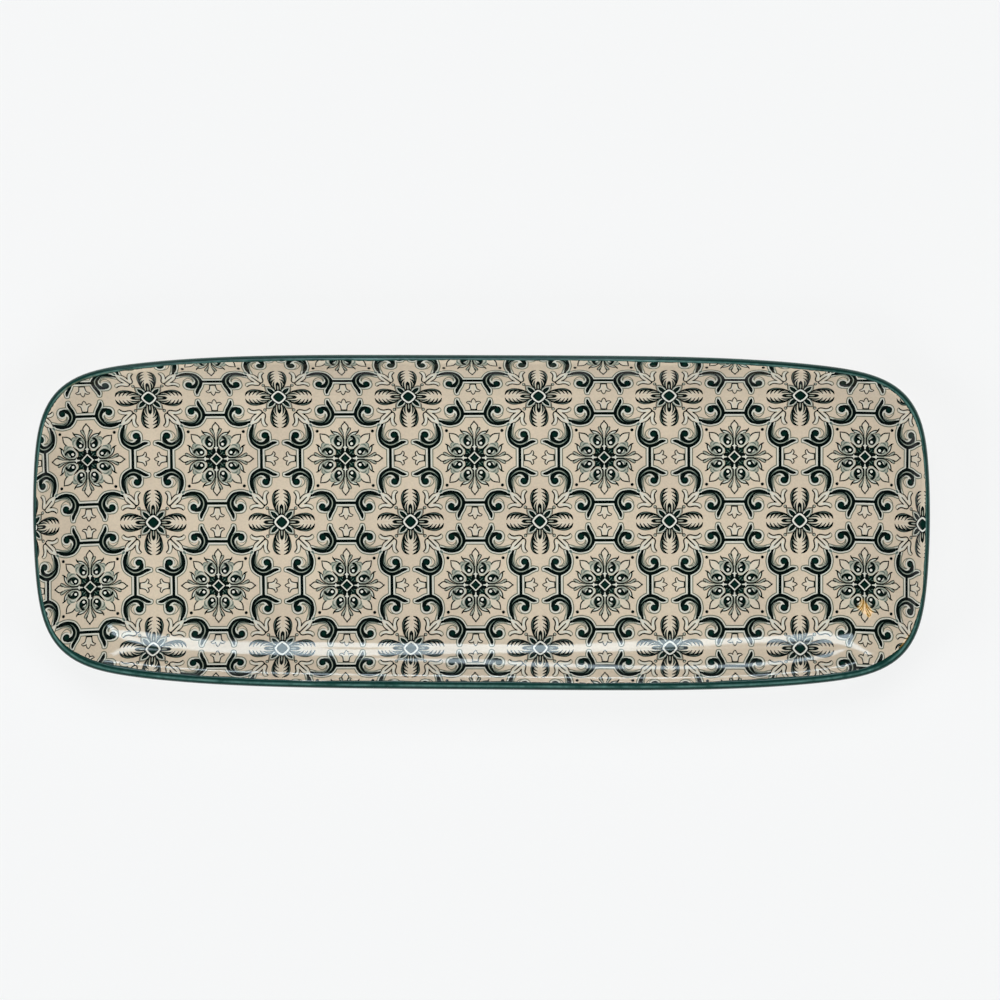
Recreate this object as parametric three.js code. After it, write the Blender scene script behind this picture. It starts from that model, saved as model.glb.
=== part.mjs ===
// A long rectangular serving tray in glazed stoneware, 300 mm long.
//
// The tray is pressed from one sheet of clay and then built up in fired coats. Each coat is a solid
// of its own here, lying on the one below without a gap:
//   clay_body         the pressed and fired clay, with its foot ring left bare
//   face_glaze        the sand-coloured ground glaze over the well
//   printed_transfer  the ornament film fired onto the face glaze
//   rim_band          the green glaze brushed over the edge
//   underside_glaze   the glaze on the outside of the wall, down to the foot
//   recess_glaze      the glaze inside the foot ring
//
// Millimetres. +X is the long way, +Y the short way, +Z up. The foot stands on z = 0.

import * as THREE from 'three';

// Overall size
const LENGTH = 300;
const WIDTH = 112.5;
const HEIGHT = 20;

// Outline: the sides fall back from a straight line towards the corners
const LONG_SIDE_DROOP = 9.8;
const LONG_SIDE_POWER = 4.2;
const SHORT_SIDE_DROOP = 5.5;
const SHORT_SIDE_POWER = 2;
const CORNER_REACH = 40;
const CORNER_POWER = 5;

// Section through the wall
const FLOOR_TOP = 7.4;
const UNDERSIDE = 2.4;
const LIP_RADIUS = 1.8;
const INNER_WALL_RADIUS = 38;
const OUTER_WALL_RADIUS = 45;
const FOOT_OUTSIDE = 23;
const FOOT_INSIDE = 28.8;
const FOOT_EDGE_START = 1;
const FOOT_EDGE_END = 1.6;
const FOOT_EDGE_HEIGHT = 0.8;

// Coats
const TRANSFER_THICKNESS = 0.15;
const COAT_THICKNESS = 0.6;
const BAND_LOWER_ANGLE = THREE.MathUtils.degToRad(-110);

// Facets
const SHORT_SIDE_STEPS = 2;
const CORNER_STEPS = 10;
const CORNER_CROWDING = 1.5;
const LONG_SIDE_STEPS = 4;
const INNER_WALL_STEPS = 6;
const OUTER_WALL_STEPS = 4;

// ---- Outline -------------------------------------------------------------------------------------

function longSideY(x, gap) {
  return WIDTH / 2 - gap - LONG_SIDE_DROOP * (x / (LENGTH / 2)) ** LONG_SIDE_POWER;
}

function shortSideX(y, gap) {
  return LENGTH / 2 - gap - SHORT_SIDE_DROOP * (y / (WIDTH / 2)) ** SHORT_SIDE_POWER;
}

// The point that lies shortGap inside the short side's curve and longGap inside the long side's.
// Each curve depends a little on the other coordinate, so the two are settled in turn.
function pointAtGaps(shortGap, longGap) {
  const settlingTurns = 40;
  let x = LENGTH / 2 - shortGap;
  let y = WIDTH / 2 - longGap;
  for (let turn = 0; turn < settlingTurns; turn += 1) {
    x = shortSideX(y, shortGap);
    y = longSideY(x, longGap);
  }
  return new THREE.Vector2(x, y);
}

// The angles that step round a corner, from 0 to 90 degrees, closest together at its tight middle.
function cornerAngles() {
  const angles = [];
  for (let step = 0; step <= CORNER_STEPS; step += 1) {
    const side = (2 * step) / CORNER_STEPS - 1;
    angles.push((Math.PI / 4) * (1 + Math.sign(side) * Math.abs(side) ** CORNER_CROWDING));
  }
  return angles;
}

// A quarter of the outline, drawn inset millimetres in from the edge, from the +X axis to the +Y axis.
function quarterRing(inset) {
  const size = CORNER_REACH - inset;
  const corner = cornerAngles().map((angle) => {
    const cosine = Math.cos(angle);
    const sine = Math.sin(angle);
    const reach = size / (cosine ** CORNER_POWER + sine ** CORNER_POWER) ** (1 / CORNER_POWER);
    return pointAtGaps(CORNER_REACH - reach * cosine, CORNER_REACH - reach * sine);
  });
  const shortSide = [];
  for (let step = 0; step < SHORT_SIDE_STEPS; step += 1) {
    const y = (corner[0].y * step) / SHORT_SIDE_STEPS;
    shortSide.push(new THREE.Vector2(shortSideX(y, inset), y));
  }
  const longSide = [];
  for (let step = 1; step <= LONG_SIDE_STEPS; step += 1) {
    const x = corner[CORNER_STEPS].x * (1 - step / LONG_SIDE_STEPS);
    longSide.push(new THREE.Vector2(x, longSideY(x, inset)));
  }
  return [...shortSide, ...corner, ...longSide];
}

// The whole ring, counter-clockwise from the +X axis: the quarter and its mirror images.
function ring(inset) {
  const mirrored = (points, signX, signY) =>
    points.map((point) => new THREE.Vector2(point.x * signX, point.y * signY)).reverse();
  const quarter = quarterRing(inset);
  const upperHalf = [...quarter, ...mirrored(quarter.slice(0, -1), -1, 1)];
  return [...upperHalf, ...mirrored(upperHalf.slice(1, -1), 1, -1)];
}

// ---- Section -------------------------------------------------------------------------------------
// A row is one place in the section: how far it lies in from the outline, and how high.
// depth is measured square to the finished surface, into the clay.

const lipHeight = HEIGHT - LIP_RADIUS;
const innerCentreHeight = FLOOR_TOP + INNER_WALL_RADIUS;
const outerCentreHeight = UNDERSIDE + OUTER_WALL_RADIUS;
const innerWallAngle = Math.acos((innerCentreHeight - lipHeight) / (INNER_WALL_RADIUS + LIP_RADIUS));
const outerWallAngle = Math.acos((outerCentreHeight - lipHeight) / (OUTER_WALL_RADIUS - LIP_RADIUS));
const innerCentreInset = LIP_RADIUS + (INNER_WALL_RADIUS + LIP_RADIUS) * Math.sin(innerWallAngle);
const outerCentreInset = LIP_RADIUS + (OUTER_WALL_RADIUS - LIP_RADIUS) * Math.sin(outerWallAngle);

// The hollow wall inside the well: angle 0 is the flat floor.
function innerWallRow(angle, depth) {
  const radius = INNER_WALL_RADIUS + depth;
  return {
    inset: innerCentreInset - radius * Math.sin(angle),
    z: innerCentreHeight - radius * Math.cos(angle),
  };
}

// The rolled edge: angle 0 is its crown, positive angles lean into the well.
function lipRow(angle, depth) {
  const radius = LIP_RADIUS - depth;
  return {
    inset: LIP_RADIUS + radius * Math.sin(angle),
    z: lipHeight + radius * Math.cos(angle),
  };
}

// The outside of the wall: angle 0 is the flat underside.
function outerWallRow(angle, depth) {
  const radius = OUTER_WALL_RADIUS - depth;
  return {
    inset: outerCentreInset - radius * Math.sin(angle),
    z: outerCentreHeight - radius * Math.cos(angle),
  };
}

function outerWallAngleAt(inset, depth) {
  return Math.asin((outerCentreInset - inset) / (OUTER_WALL_RADIUS - depth));
}

function outerWallRowAt(inset, depth) {
  return outerWallRow(outerWallAngleAt(inset, depth), depth);
}

// From the flat floor up the inner wall and over to the crown of the edge.
function wellRows(depth) {
  const rows = [];
  for (let step = 0; step <= INNER_WALL_STEPS; step += 1) {
    rows.push(innerWallRow((innerWallAngle * step) / INNER_WALL_STEPS, depth));
  }
  rows.push(lipRow(innerWallAngle / 2, depth));
  rows.push(lipRow(0, depth));
  return rows;
}

// From the crown of the edge, round its outermost point, to where the green band stops.
function bandRows(depth) {
  const outermost = -Math.PI / 2;
  const angles = [0, outermost / 3, (outermost * 2) / 3, outermost, BAND_LOWER_ANGLE];
  return angles.map((angle) => lipRow(angle, depth));
}

// From where the green band stops, down the outside of the wall to the foot.
function outsideRows(depth) {
  const footAngle = outerWallAngleAt(FOOT_OUTSIDE, depth);
  const rows = [lipRow(BAND_LOWER_ANGLE, depth)];
  for (let step = 0; step <= OUTER_WALL_STEPS; step += 1) {
    const share = step / OUTER_WALL_STEPS;
    rows.push(outerWallRow(THREE.MathUtils.lerp(outerWallAngle, footAngle, share), depth));
  }
  return rows;
}

// The bare foot, from the outside glaze line, under the flat tread, to the glaze line inside it.
function footRows() {
  return [
    outerWallRowAt(FOOT_OUTSIDE, 0),
    { inset: FOOT_OUTSIDE + FOOT_EDGE_START, z: FOOT_EDGE_HEIGHT },
    { inset: FOOT_OUTSIDE + FOOT_EDGE_END, z: 0 },
    { inset: FOOT_INSIDE - FOOT_EDGE_END, z: 0 },
    { inset: FOOT_INSIDE - FOOT_EDGE_START, z: FOOT_EDGE_HEIGHT },
    outerWallRowAt(FOOT_INSIDE, 0),
  ];
}

// The flat underside, from the middle out to the foot's inner glaze line.
function recessRows(depth) {
  return [outerWallRow(0, depth), outerWallRowAt(FOOT_INSIDE, depth)];
}

// ---- Solids --------------------------------------------------------------------------------------

// Joins the rings of the rows into one closed surface. The rows run from the middle of the top, out
// and round, to the middle of the bottom; a loop's last row joins its first instead.
function solidFromRows(rows, isLoop) {
  const rings = rows.map((row) => ring(row.inset));
  const columns = rings[0].length;
  const positions = [];
  rings.forEach((points, index) => {
    points.forEach((point) => positions.push(point.x, point.y, rows[index].z));
  });
  const triangles = [];
  const vertex = (row, column) => row * columns + (column % columns);
  const strips = isLoop ? rows.length : rows.length - 1;
  for (let strip = 0; strip < strips; strip += 1) {
    const next = (strip + 1) % rows.length;
    // Coats that lie on each other share a surface, so its quads are always cut along the same
    // diagonal: from the ring further in to the next column of the ring further out.
    const runsOutward = rows[strip].inset > rows[next].inset;
    for (let column = 0; column < columns; column += 1) {
      const a = vertex(strip, column);
      const b = vertex(next, column);
      const c = vertex(next, column + 1);
      const d = vertex(strip, column + 1);
      if (runsOutward) {
        triangles.push(a, b, c, a, c, d);
      } else {
        triangles.push(a, b, d, b, c, d);
      }
    }
  }
  if (!isLoop) {
    const top = positions.length / 3;
    const bottom = top + 1;
    positions.push(0, 0, rows[0].z);
    positions.push(0, 0, rows[rows.length - 1].z);
    for (let column = 0; column < columns; column += 1) {
      triangles.push(top, vertex(0, column), vertex(0, column + 1));
      triangles.push(bottom, vertex(rows.length - 1, column + 1), vertex(rows.length - 1, column));
    }
  }
  const geometry = new THREE.BufferGeometry();
  geometry.setAttribute('position', new THREE.Float32BufferAttribute(positions, 3));
  geometry.setIndex(triangles);
  geometry.computeVertexNormals();
  return geometry;
}

// ---- Pieces --------------------------------------------------------------------------------------

function namedMesh(name, geometry, colour, roughness) {
  const material = new THREE.MeshStandardMaterial({ color: colour, roughness, metalness: 0 });
  const mesh = new THREE.Mesh(geometry, material);
  mesh.name = name;
  return mesh;
}

function clayBody() {
  const rows = [
    ...wellRows(COAT_THICKNESS),
    ...bandRows(COAT_THICKNESS).slice(1),
    ...outsideRows(COAT_THICKNESS).slice(1),
    ...footRows(),
    ...recessRows(COAT_THICKNESS).reverse(),
  ];
  return namedMesh('clay_body', solidFromRows(rows, false), 0xd8c9b4, 0.85);
}

function faceGlaze() {
  const rows = [...wellRows(TRANSFER_THICKNESS), ...wellRows(COAT_THICKNESS).reverse()];
  return namedMesh('face_glaze', solidFromRows(rows, false), 0xcdbeaa, 0.12);
}

function printedTransfer() {
  const rows = [...wellRows(0), ...wellRows(TRANSFER_THICKNESS).reverse()];
  return namedMesh('printed_transfer', solidFromRows(rows, false), 0x12302c, 0.12);
}

function rimBand() {
  const rows = [...bandRows(0), ...bandRows(COAT_THICKNESS).reverse()];
  return namedMesh('rim_band', solidFromRows(rows, true), 0x14463e, 0.12);
}

function undersideGlaze() {
  const rows = [...outsideRows(0), ...outsideRows(COAT_THICKNESS).reverse()];
  return namedMesh('underside_glaze', solidFromRows(rows, true), 0xe6dfd2, 0.15);
}

function recessGlaze() {
  const rows = [...recessRows(COAT_THICKNESS), ...recessRows(0).reverse()];
  return namedMesh('recess_glaze', solidFromRows(rows, false), 0xe6dfd2, 0.15);
}

const tray = new THREE.Group();
tray.add(clayBody(), faceGlaze(), printedTransfer(), rimBand(), undersideGlaze(), recessGlaze());

export default tray;
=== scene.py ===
"""A long printed stoneware serving tray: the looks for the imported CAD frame.

Lengths are in millimetres in the frame's axes (+X long, +Y across, +Z up) until a mesh is made.
The ornament repeats over the well in square tiles. A tile is drawn once, as brush strokes and
blobs in an eighth of it, cut into triangles of one ink each, mirrored, repeated, and laid on the
well's own surface, so the inks touch each other like the areas of a print.
"""
import functools
import math

import bpy
import numpy as np
from mathutils import Matrix, Vector, geometry


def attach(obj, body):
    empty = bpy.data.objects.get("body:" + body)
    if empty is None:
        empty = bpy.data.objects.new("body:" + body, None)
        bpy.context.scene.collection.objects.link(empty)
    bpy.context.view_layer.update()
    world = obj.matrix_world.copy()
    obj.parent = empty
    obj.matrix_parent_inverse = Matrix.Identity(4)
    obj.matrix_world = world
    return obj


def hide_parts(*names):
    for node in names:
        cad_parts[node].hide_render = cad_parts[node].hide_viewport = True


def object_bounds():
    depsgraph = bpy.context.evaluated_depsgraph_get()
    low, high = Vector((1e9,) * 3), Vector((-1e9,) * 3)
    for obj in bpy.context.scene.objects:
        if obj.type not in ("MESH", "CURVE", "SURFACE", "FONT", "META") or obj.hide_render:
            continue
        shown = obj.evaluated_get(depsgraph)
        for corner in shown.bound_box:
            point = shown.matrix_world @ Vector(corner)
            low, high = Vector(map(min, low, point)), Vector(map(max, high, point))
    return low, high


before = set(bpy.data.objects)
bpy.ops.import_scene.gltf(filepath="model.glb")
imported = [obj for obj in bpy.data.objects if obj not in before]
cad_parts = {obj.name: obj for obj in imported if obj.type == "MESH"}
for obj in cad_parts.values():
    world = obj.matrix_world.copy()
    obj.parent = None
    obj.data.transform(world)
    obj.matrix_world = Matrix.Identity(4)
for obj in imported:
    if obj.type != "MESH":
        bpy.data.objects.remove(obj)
CAD_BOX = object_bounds()
MM = 0.001

# Overall size, from the frame
LENGTH, WIDTH, HEIGHT = [(high - low) / MM for low, high in zip(*CAD_BOX)]

# Outline: the sides fall back from a straight line towards the corners
LONG_SIDE_DROOP = 9.8
LONG_SIDE_POWER = 4.2
SHORT_SIDE_DROOP = 5.5
SHORT_SIDE_POWER = 2
CORNER_REACH = 40
CORNER_POWER = 5

# Section through the wall
FLOOR_TOP = 7.4
UNDERSIDE = 2.4
LIP_RADIUS = 1.8
INNER_WALL_RADIUS = 38
OUTER_WALL_RADIUS = 45
FOOT_OUTSIDE = 23
FOOT_INSIDE = 28.8
FOOT_EDGE_START = 1
FOOT_EDGE_END = 1.6
FOOT_EDGE_HEIGHT = 0.8
TRANSFER_THICKNESS = 0.15
COAT_THICKNESS = 0.6
BAND_LOWER_ANGLE = math.radians(-110)

# The print lies this far under the finished surface, so that the green band covers its end, which
# is this far in from the outline
PRINT_DEPTH = 0.05
PRINT_END = 1.15

# The ornament's tile, and how far the print slipped when it was laid
TILE_LENGTH = 43.65
TILE_WIDTH = 43.2
PRINT_SHIFT = (-1.85, -0.73)
PRINT_TURN = math.radians(0.5)
TILES_ALONG = 4  # to each side
TILES_ACROSS = 2

# ---- Surface -------------------------------------------------------------------------------------

LIP_HEIGHT = HEIGHT - LIP_RADIUS
INNER_CENTRE_HEIGHT = FLOOR_TOP + INNER_WALL_RADIUS
OUTER_CENTRE_HEIGHT = UNDERSIDE + OUTER_WALL_RADIUS
INNER_WALL_ANGLE = math.acos((INNER_CENTRE_HEIGHT - LIP_HEIGHT) / (INNER_WALL_RADIUS + LIP_RADIUS))
OUTER_WALL_ANGLE = math.acos((OUTER_CENTRE_HEIGHT - LIP_HEIGHT) / (OUTER_WALL_RADIUS - LIP_RADIUS))
INNER_CENTRE_INSET = LIP_RADIUS + (INNER_WALL_RADIUS + LIP_RADIUS) * math.sin(INNER_WALL_ANGLE)
OUTER_CENTRE_INSET = LIP_RADIUS + (OUTER_WALL_RADIUS - LIP_RADIUS) * math.sin(OUTER_WALL_ANGLE)


def long_side_y(x, gap):
    return WIDTH / 2 - gap - LONG_SIDE_DROOP * np.abs(2 * x / LENGTH) ** LONG_SIDE_POWER


def short_side_x(y, gap):
    return LENGTH / 2 - gap - SHORT_SIDE_DROOP * np.abs(2 * y / WIDTH) ** SHORT_SIDE_POWER


def inset_at(x, y):
    """How far in from the outline a point lies."""
    long_gap = long_side_y(x, 0) - np.abs(y)
    short_gap = short_side_x(y, 0) - np.abs(x)
    u = np.maximum(1 - short_gap / CORNER_REACH, 0)
    v = np.maximum(1 - long_gap / CORNER_REACH, 0)
    return CORNER_REACH * (1 - (u**CORNER_POWER + v**CORNER_POWER) ** (1 / CORNER_POWER))


def hand_waver(x, y):
    """The slight unevenness of a pressed and glazed surface, in height."""
    slow = np.sin(x / 17.0 + 1.3 * np.sin(y / 23.0)) * np.cos(y / 19.0 + 0.8)
    quick = np.sin(x / 6.1 + y / 7.3 + 0.6) * np.sin(y / 5.2 - x / 9.7)
    return 0.035 * slow + 0.008 * quick


def well_height(x, y, depth=PRINT_DEPTH):
    """The height of the well and the top of its edge, depth under the finished surface."""
    inset = inset_at(x, y)
    wall_radius = INNER_WALL_RADIUS + depth
    lip_radius = LIP_RADIUS - depth
    wall_reach = np.clip(INNER_CENTRE_INSET - inset, 0, wall_radius)
    wall = INNER_CENTRE_HEIGHT - np.sqrt(wall_radius**2 - wall_reach**2)
    lip_reach = np.clip(inset - LIP_RADIUS, -lip_radius, lip_radius)
    lip = LIP_HEIGHT + np.sqrt(lip_radius**2 - lip_reach**2)
    lip_ends = LIP_RADIUS + lip_radius * math.sin(INNER_WALL_ANGLE)
    return np.where(inset > lip_ends, wall, lip) + hand_waver(x, y)


def well_normals(x, y):
    step = 0.04
    slope_x = (well_height(x + step, y) - well_height(x - step, y)) / (2 * step)
    slope_y = (well_height(x, y + step) - well_height(x, y - step)) / (2 * step)
    normals = np.column_stack([-slope_x, -slope_y, np.ones_like(slope_x)])
    return normals / np.linalg.norm(normals, axis=1)[:, None]


# The print's tones, and their colours as the eye sees them. Seed is the medallions' black: a tone of
# its own, so that no piece holds too many triangles.
INKS = ("ground", "cream", "pale", "mist", "wash", "line", "brown", "ink", "seed", "deep", "white")
INK_COLOURS = {
    "ground": (212, 196, 174),
    "cream": (214, 202, 182),
    "pale": (212, 211, 199),
    "mist": (158, 161, 147),
    "wash": (92, 107, 98),
    "line": (112, 114, 98),
    "brown": (27, 33, 26),
    "ink": (1, 13, 9),
    "seed": (1, 13, 9),
    "deep": (5, 38, 31),
    "white": (226, 225, 215),
}
# How far a tone drifts to each side of its colour
USUAL_SPREAD = 5
INK_SPREAD = {"ink": 2, "seed": 2, "deep": 4}

# ---- The ornament --------------------------------------------------------------------------------
# Places and widths are in tiles, from the middle of a flower. The medallion's middle is (0.5, 0.5).

# How the eighth's drawing is mirrored into a whole tile: signs of x and y, and whether they swap
SYMMETRIES = [(a, b, swap) for swap in (False, True) for a in (1, -1) for b in (1, -1)]
SPACING = 0.013  # between the points of a drawn curve
THINNEST_CAP = 0.002  # a stroke that ends no wider than this on each side ends in a point


def spline(points, closed=False):
    """A Catmull-Rom curve through the points, each any number of values long."""
    p = np.array(points, dtype=float)
    if closed:
        p = np.vstack([p[-1], p, p[0], p[1]])
    else:
        p = np.vstack([2 * p[0] - p[1], p, 2 * p[-1] - p[-2]])
    curve = []
    for a, b, c, d in zip(p[:-3], p[1:-2], p[2:-1], p[3:]):
        count = max(2, math.ceil(np.linalg.norm((c - b)[:2]) / SPACING))
        for t in np.arange(count) / count:
            curve.append(
                0.5 * (2 * b + (c - a) * t + (2 * a - 5 * b + 4 * c - d) * t * t
                       + (3 * b - a - 3 * c + d) * t ** 3)
            )
    if not closed:
        curve.append(p[-2])
    return np.array(curve)


def stroke(points, extra=0.0):
    """The outline of a brush stroke: each point is x, y and the stroke's width there."""
    c = spline(points)
    width = np.maximum(c[:, 2], 0) / 2 + extra
    along = np.gradient(c[:, :2], axis=0)
    along /= np.linalg.norm(along, axis=1)[:, None]
    side = np.column_stack([-along[:, 1], along[:, 0]])
    left = c[:, :2] + side * width[:, None]
    right = c[:, :2] - side * width[:, None]
    parts = [left]
    if width[-1] > THINNEST_CAP:
        parts.append(cap(c[-1, :2], along[-1], side[-1], width[-1]))
    parts.append(right[::-1])
    if width[0] > THINNEST_CAP:
        parts.append(cap(c[0, :2], -along[0], -side[0], width[0]))
    return np.vstack(parts)


def cap(centre, ahead, side, radius):
    """The round end of a stroke."""
    steps = 4 if radius < 0.01 else 7
    angles = np.pi * np.arange(1, steps) / steps
    return centre + radius * (np.outer(np.cos(angles), side) + np.outer(np.sin(angles), ahead))


def blob(points):
    """A closed outline with rounded corners."""
    return spline(points, closed=True)


def shape(points):
    """A closed outline with straight sides."""
    return np.array(points, dtype=float)


def oval(x, y, rx, ry=None):
    ry = rx if ry is None else ry
    count = max(10, math.ceil(2 * math.pi * max(rx, ry) / SPACING))
    t = 2 * math.pi * np.arange(count) / count
    return np.column_stack([x + rx * np.cos(t), y + ry * np.sin(t)])


# How far the scrolls' pale halo, the thin line round it and the ink itself reach past their strokes
HALO = 0.0125
CONTOUR = 0.0212
BOLD = 0.004

# The scrolls: strokes as x, y and width, and the ball in the curl as x, y and its two radii
SCROLL_STEM = [(0.224, 0.204, 0.008), (0.235, 0.209, 0.012), (0.25, 0.215, 0.015), (0.27, 0.223, 0.018),
    (0.3, 0.23, 0.021), (0.33, 0.2295, 0.022), (0.352, 0.222, 0.02)]
SCROLL_OUTER = [(0.33, 0.2325, 0.016), (0.365, 0.2245, 0.015), (0.385, 0.208, 0.0165), (0.4, 0.186, 0.018),
    (0.4085, 0.165, 0.022), (0.411, 0.148, 0.024), (0.408, 0.125, 0.021), (0.4, 0.1, 0.019),
    (0.387, 0.078, 0.0185), (0.378, 0.06, 0.019), (0.374, 0.043, 0.014), (0.372, 0.029, 0.001)]
SCROLL_INNER = [(0.335, 0.224, 0.014), (0.352, 0.2135, 0.014), (0.367, 0.195, 0.015), (0.379, 0.17, 0.017),
    (0.3825, 0.15, 0.0185), (0.379, 0.131, 0.021), (0.368, 0.113, 0.024), (0.35, 0.102, 0.03),
    (0.333, 0.104, 0.036)]
TAIL_GLOW = [(0.375, 0.05, 0.008), (0.376, 0.038, 0.004), (0.378, 0.028, 0)]
BALL = (0.3175, 0.1175, 0.0285, 0.0305)
BAR = [(0.42, 0.15, 0.023), (0.45, 0.15, 0.023), (0.5, 0.15, 0.023), (0.54, 0.15, 0.023)]


def scroll():
    """Half of a scroll with its halo, shading and ball, and the bar that joins it to the next."""
    x, y, rx, ry = BALL

    def around(extra):
        strokes = [stroke(line, extra) for line in (SCROLL_STEM, SCROLL_OUTER, SCROLL_INNER, TAIL_GLOW, BAR)]
        return strokes + [oval(x, y, rx + extra, ry + extra)]

    out = [("line", outline) for outline in around(CONTOUR)]
    out += [("pale", outline) for outline in around(HALO)]
    out += [
        ("ground", blob([(0.281, 0.149), (0.296, 0.16), (0.3175, 0.164), (0.334, 0.158), (0.3445, 0.144),
            (0.349, 0.154), (0.346, 0.166), (0.337, 0.176), (0.3175, 0.184), (0.297, 0.178),
            (0.283, 0.166)])),
        ("line", stroke([(0.2735, 0.128, 0.004), (0.276, 0.145, 0.008), (0.283, 0.161, 0.008),
            (0.298, 0.1765, 0.008), (0.3175, 0.185, 0.009), (0.337, 0.176, 0.008), (0.3475, 0.164, 0.007),
            (0.351, 0.148, 0.003)])),
        ("wash", stroke([(0.24, 0.204, 0.003), (0.262, 0.2095, 0.007), (0.3, 0.2145, 0.01),
            (0.33, 0.2125, 0.01), (0.35, 0.202, 0.008), (0.364, 0.184, 0.005), (0.3705, 0.165, 0.002)])),
        ("mist", stroke([(0.25, 0.198, 0.003), (0.28, 0.2035, 0.006), (0.31, 0.2035, 0.007),
            (0.337, 0.195, 0.006), (0.355, 0.178, 0.004), (0.362, 0.16, 0.002)])),
        ("brown", stroke([(0.252, 0.2025, 0.001), (0.28, 0.2085, 0.0045), (0.312, 0.2095, 0.005),
            (0.338, 0.2015, 0.0045), (0.356, 0.186, 0.004), (0.366, 0.167, 0.001)])),
        ("line", stroke([(0.262, 0.1945, 0.002), (0.29, 0.1975, 0.005), (0.318, 0.196, 0.005),
            (0.34, 0.186, 0.0045), (0.353, 0.17, 0.001)])),
        ("ink", stroke(SCROLL_STEM, BOLD)),
        ("ink", stroke(SCROLL_OUTER, BOLD)),
        ("ink", stroke(SCROLL_INNER, BOLD)),
        ("wash", stroke([(0.346, 0.221, 0.001), (0.36, 0.213, 0.004), (0.376, 0.197, 0.0075),
            (0.389, 0.177, 0.009), (0.3955, 0.158, 0.0095), (0.3955, 0.14, 0.0095), (0.3905, 0.12, 0.0095),
            (0.3805, 0.102, 0.009), (0.367, 0.087, 0.007), (0.355, 0.08, 0.003)])),
        ("mist", stroke([(0.3815, 0.192, 0.002), (0.3915, 0.172, 0.005), (0.396, 0.152, 0.0055),
            (0.3935, 0.13, 0.0055), (0.3865, 0.112, 0.005), (0.378, 0.1, 0.002)])),
        ("ink", oval(x, y, rx, ry)),
        ("deep", oval(x + 0.003, y + 0.002, rx - 0.01, ry - 0.011)),
        ("ink", stroke(BAR)),
        ("pale", stroke([(0.366, 0.152, 0), (0.359, 0.145, 0.007), (0.3525, 0.133, 0.01),
            (0.3465, 0.122, 0.008), (0.342, 0.114, 0)])),
        ("pale", oval(0.238, 0.238, 0.018)),
        ("wash", blob([(0.227, 0.227), (0.238, 0.226), (0.249, 0.237), (0.252, 0.252), (0.237, 0.249),
            (0.226, 0.238)])),
    ]
    return out


def feather(root, tip, width):
    """One hatching stroke of a petal, slightly bent and thinner towards its tip."""
    bend = ((tip[0] + root[0]) / 2 + 0.006, (tip[1] + root[1]) / 2 + 0.005)
    return stroke([(*root, width), (*bend, width), (*tip, 0.4 * width)])


def diamond(reach, power):
    """A diamond with rounded corners round the middle of a flower."""
    count = 40
    turn = 2 * math.pi * np.arange(count) / count
    cosine, sine = np.cos(turn), np.sin(turn)
    radius = reach / (np.abs(cosine) ** power + np.abs(sine) ** power) ** (1 / power)
    return np.column_stack([radius * cosine, radius * sine])


def axis_petal():
    return [
        ("cream", blob([(0.07, 0.005), (0.08, 0.028), (0.105, 0.044), (0.14, 0.057), (0.183, 0.066),
            (0.222, 0.06), (0.243, 0.042), (0.252, 0.02), (0.235, 0.012), (0.2, 0.012), (0.17, 0.004),
            (0.14, 0), (0.1, -0.006)])),
        ("wash", stroke([(0.078, 0.022, 0.006), (0.1, 0.031, 0.012), (0.122, 0.034, 0.011),
            (0.142, 0.028, 0.003)])),
        ("mist", stroke([(0.086, 0.022, 0.003), (0.105, 0.0245, 0.007), (0.127, 0.026, 0.006),
            (0.142, 0.021, 0.001)])),
        ("wash", stroke([(0.122, 0.046, 0.003), (0.145, 0.048, 0.007), (0.162, 0.043, 0.006),
            (0.176, 0.032, 0.001)])),
        ("wash", stroke([(0.18, 0.052, 0.003), (0.198, 0.05, 0.008), (0.215, 0.042, 0.008),
            (0.232, 0.028, 0.002)])),
        ("ink", stroke([(0.07, 0.024, 0.006), (0.1, 0.031, 0.0095), (0.128, 0.03, 0.009),
            (0.152, 0.0215, 0.002)])),
        ("ink", feather((0.118, 0.051), (0.171, 0.0185), 0.0125)),
        ("ink", feather((0.152, 0.06), (0.2, 0.021), 0.0135)),
        ("ink", feather((0.185, 0.063), (0.2275, 0.0165), 0.0145)),
        ("ink", stroke([(0.052, 0.016, 0.012), (0.07, 0.026, 0.012), (0.09, 0.041, 0.013),
            (0.12, 0.053, 0.017), (0.155, 0.061, 0.02), (0.19, 0.064, 0.021), (0.222, 0.056, 0.02),
            (0.2445, 0.039, 0.017), (0.257, 0.012, 0.004)])),
        ("wash", stroke([(0.15, 0.0625, 0.001), (0.175, 0.0665, 0.0045), (0.2, 0.0645, 0.005),
            (0.222, 0.055, 0.004), (0.236, 0.043, 0.001)])),
        ("ink", stroke([(0.05, 0, 0.034), (0.08, 0, 0.033), (0.11, 0, 0.032), (0.128, 0, 0.026),
            (0.1425, 0, 0.003)])),
        ("mist", stroke([(0.066, 0, 0.004), (0.08, 0, 0.01), (0.096, 0, 0.009), (0.108, 0, 0.002)])),
    ]


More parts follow.
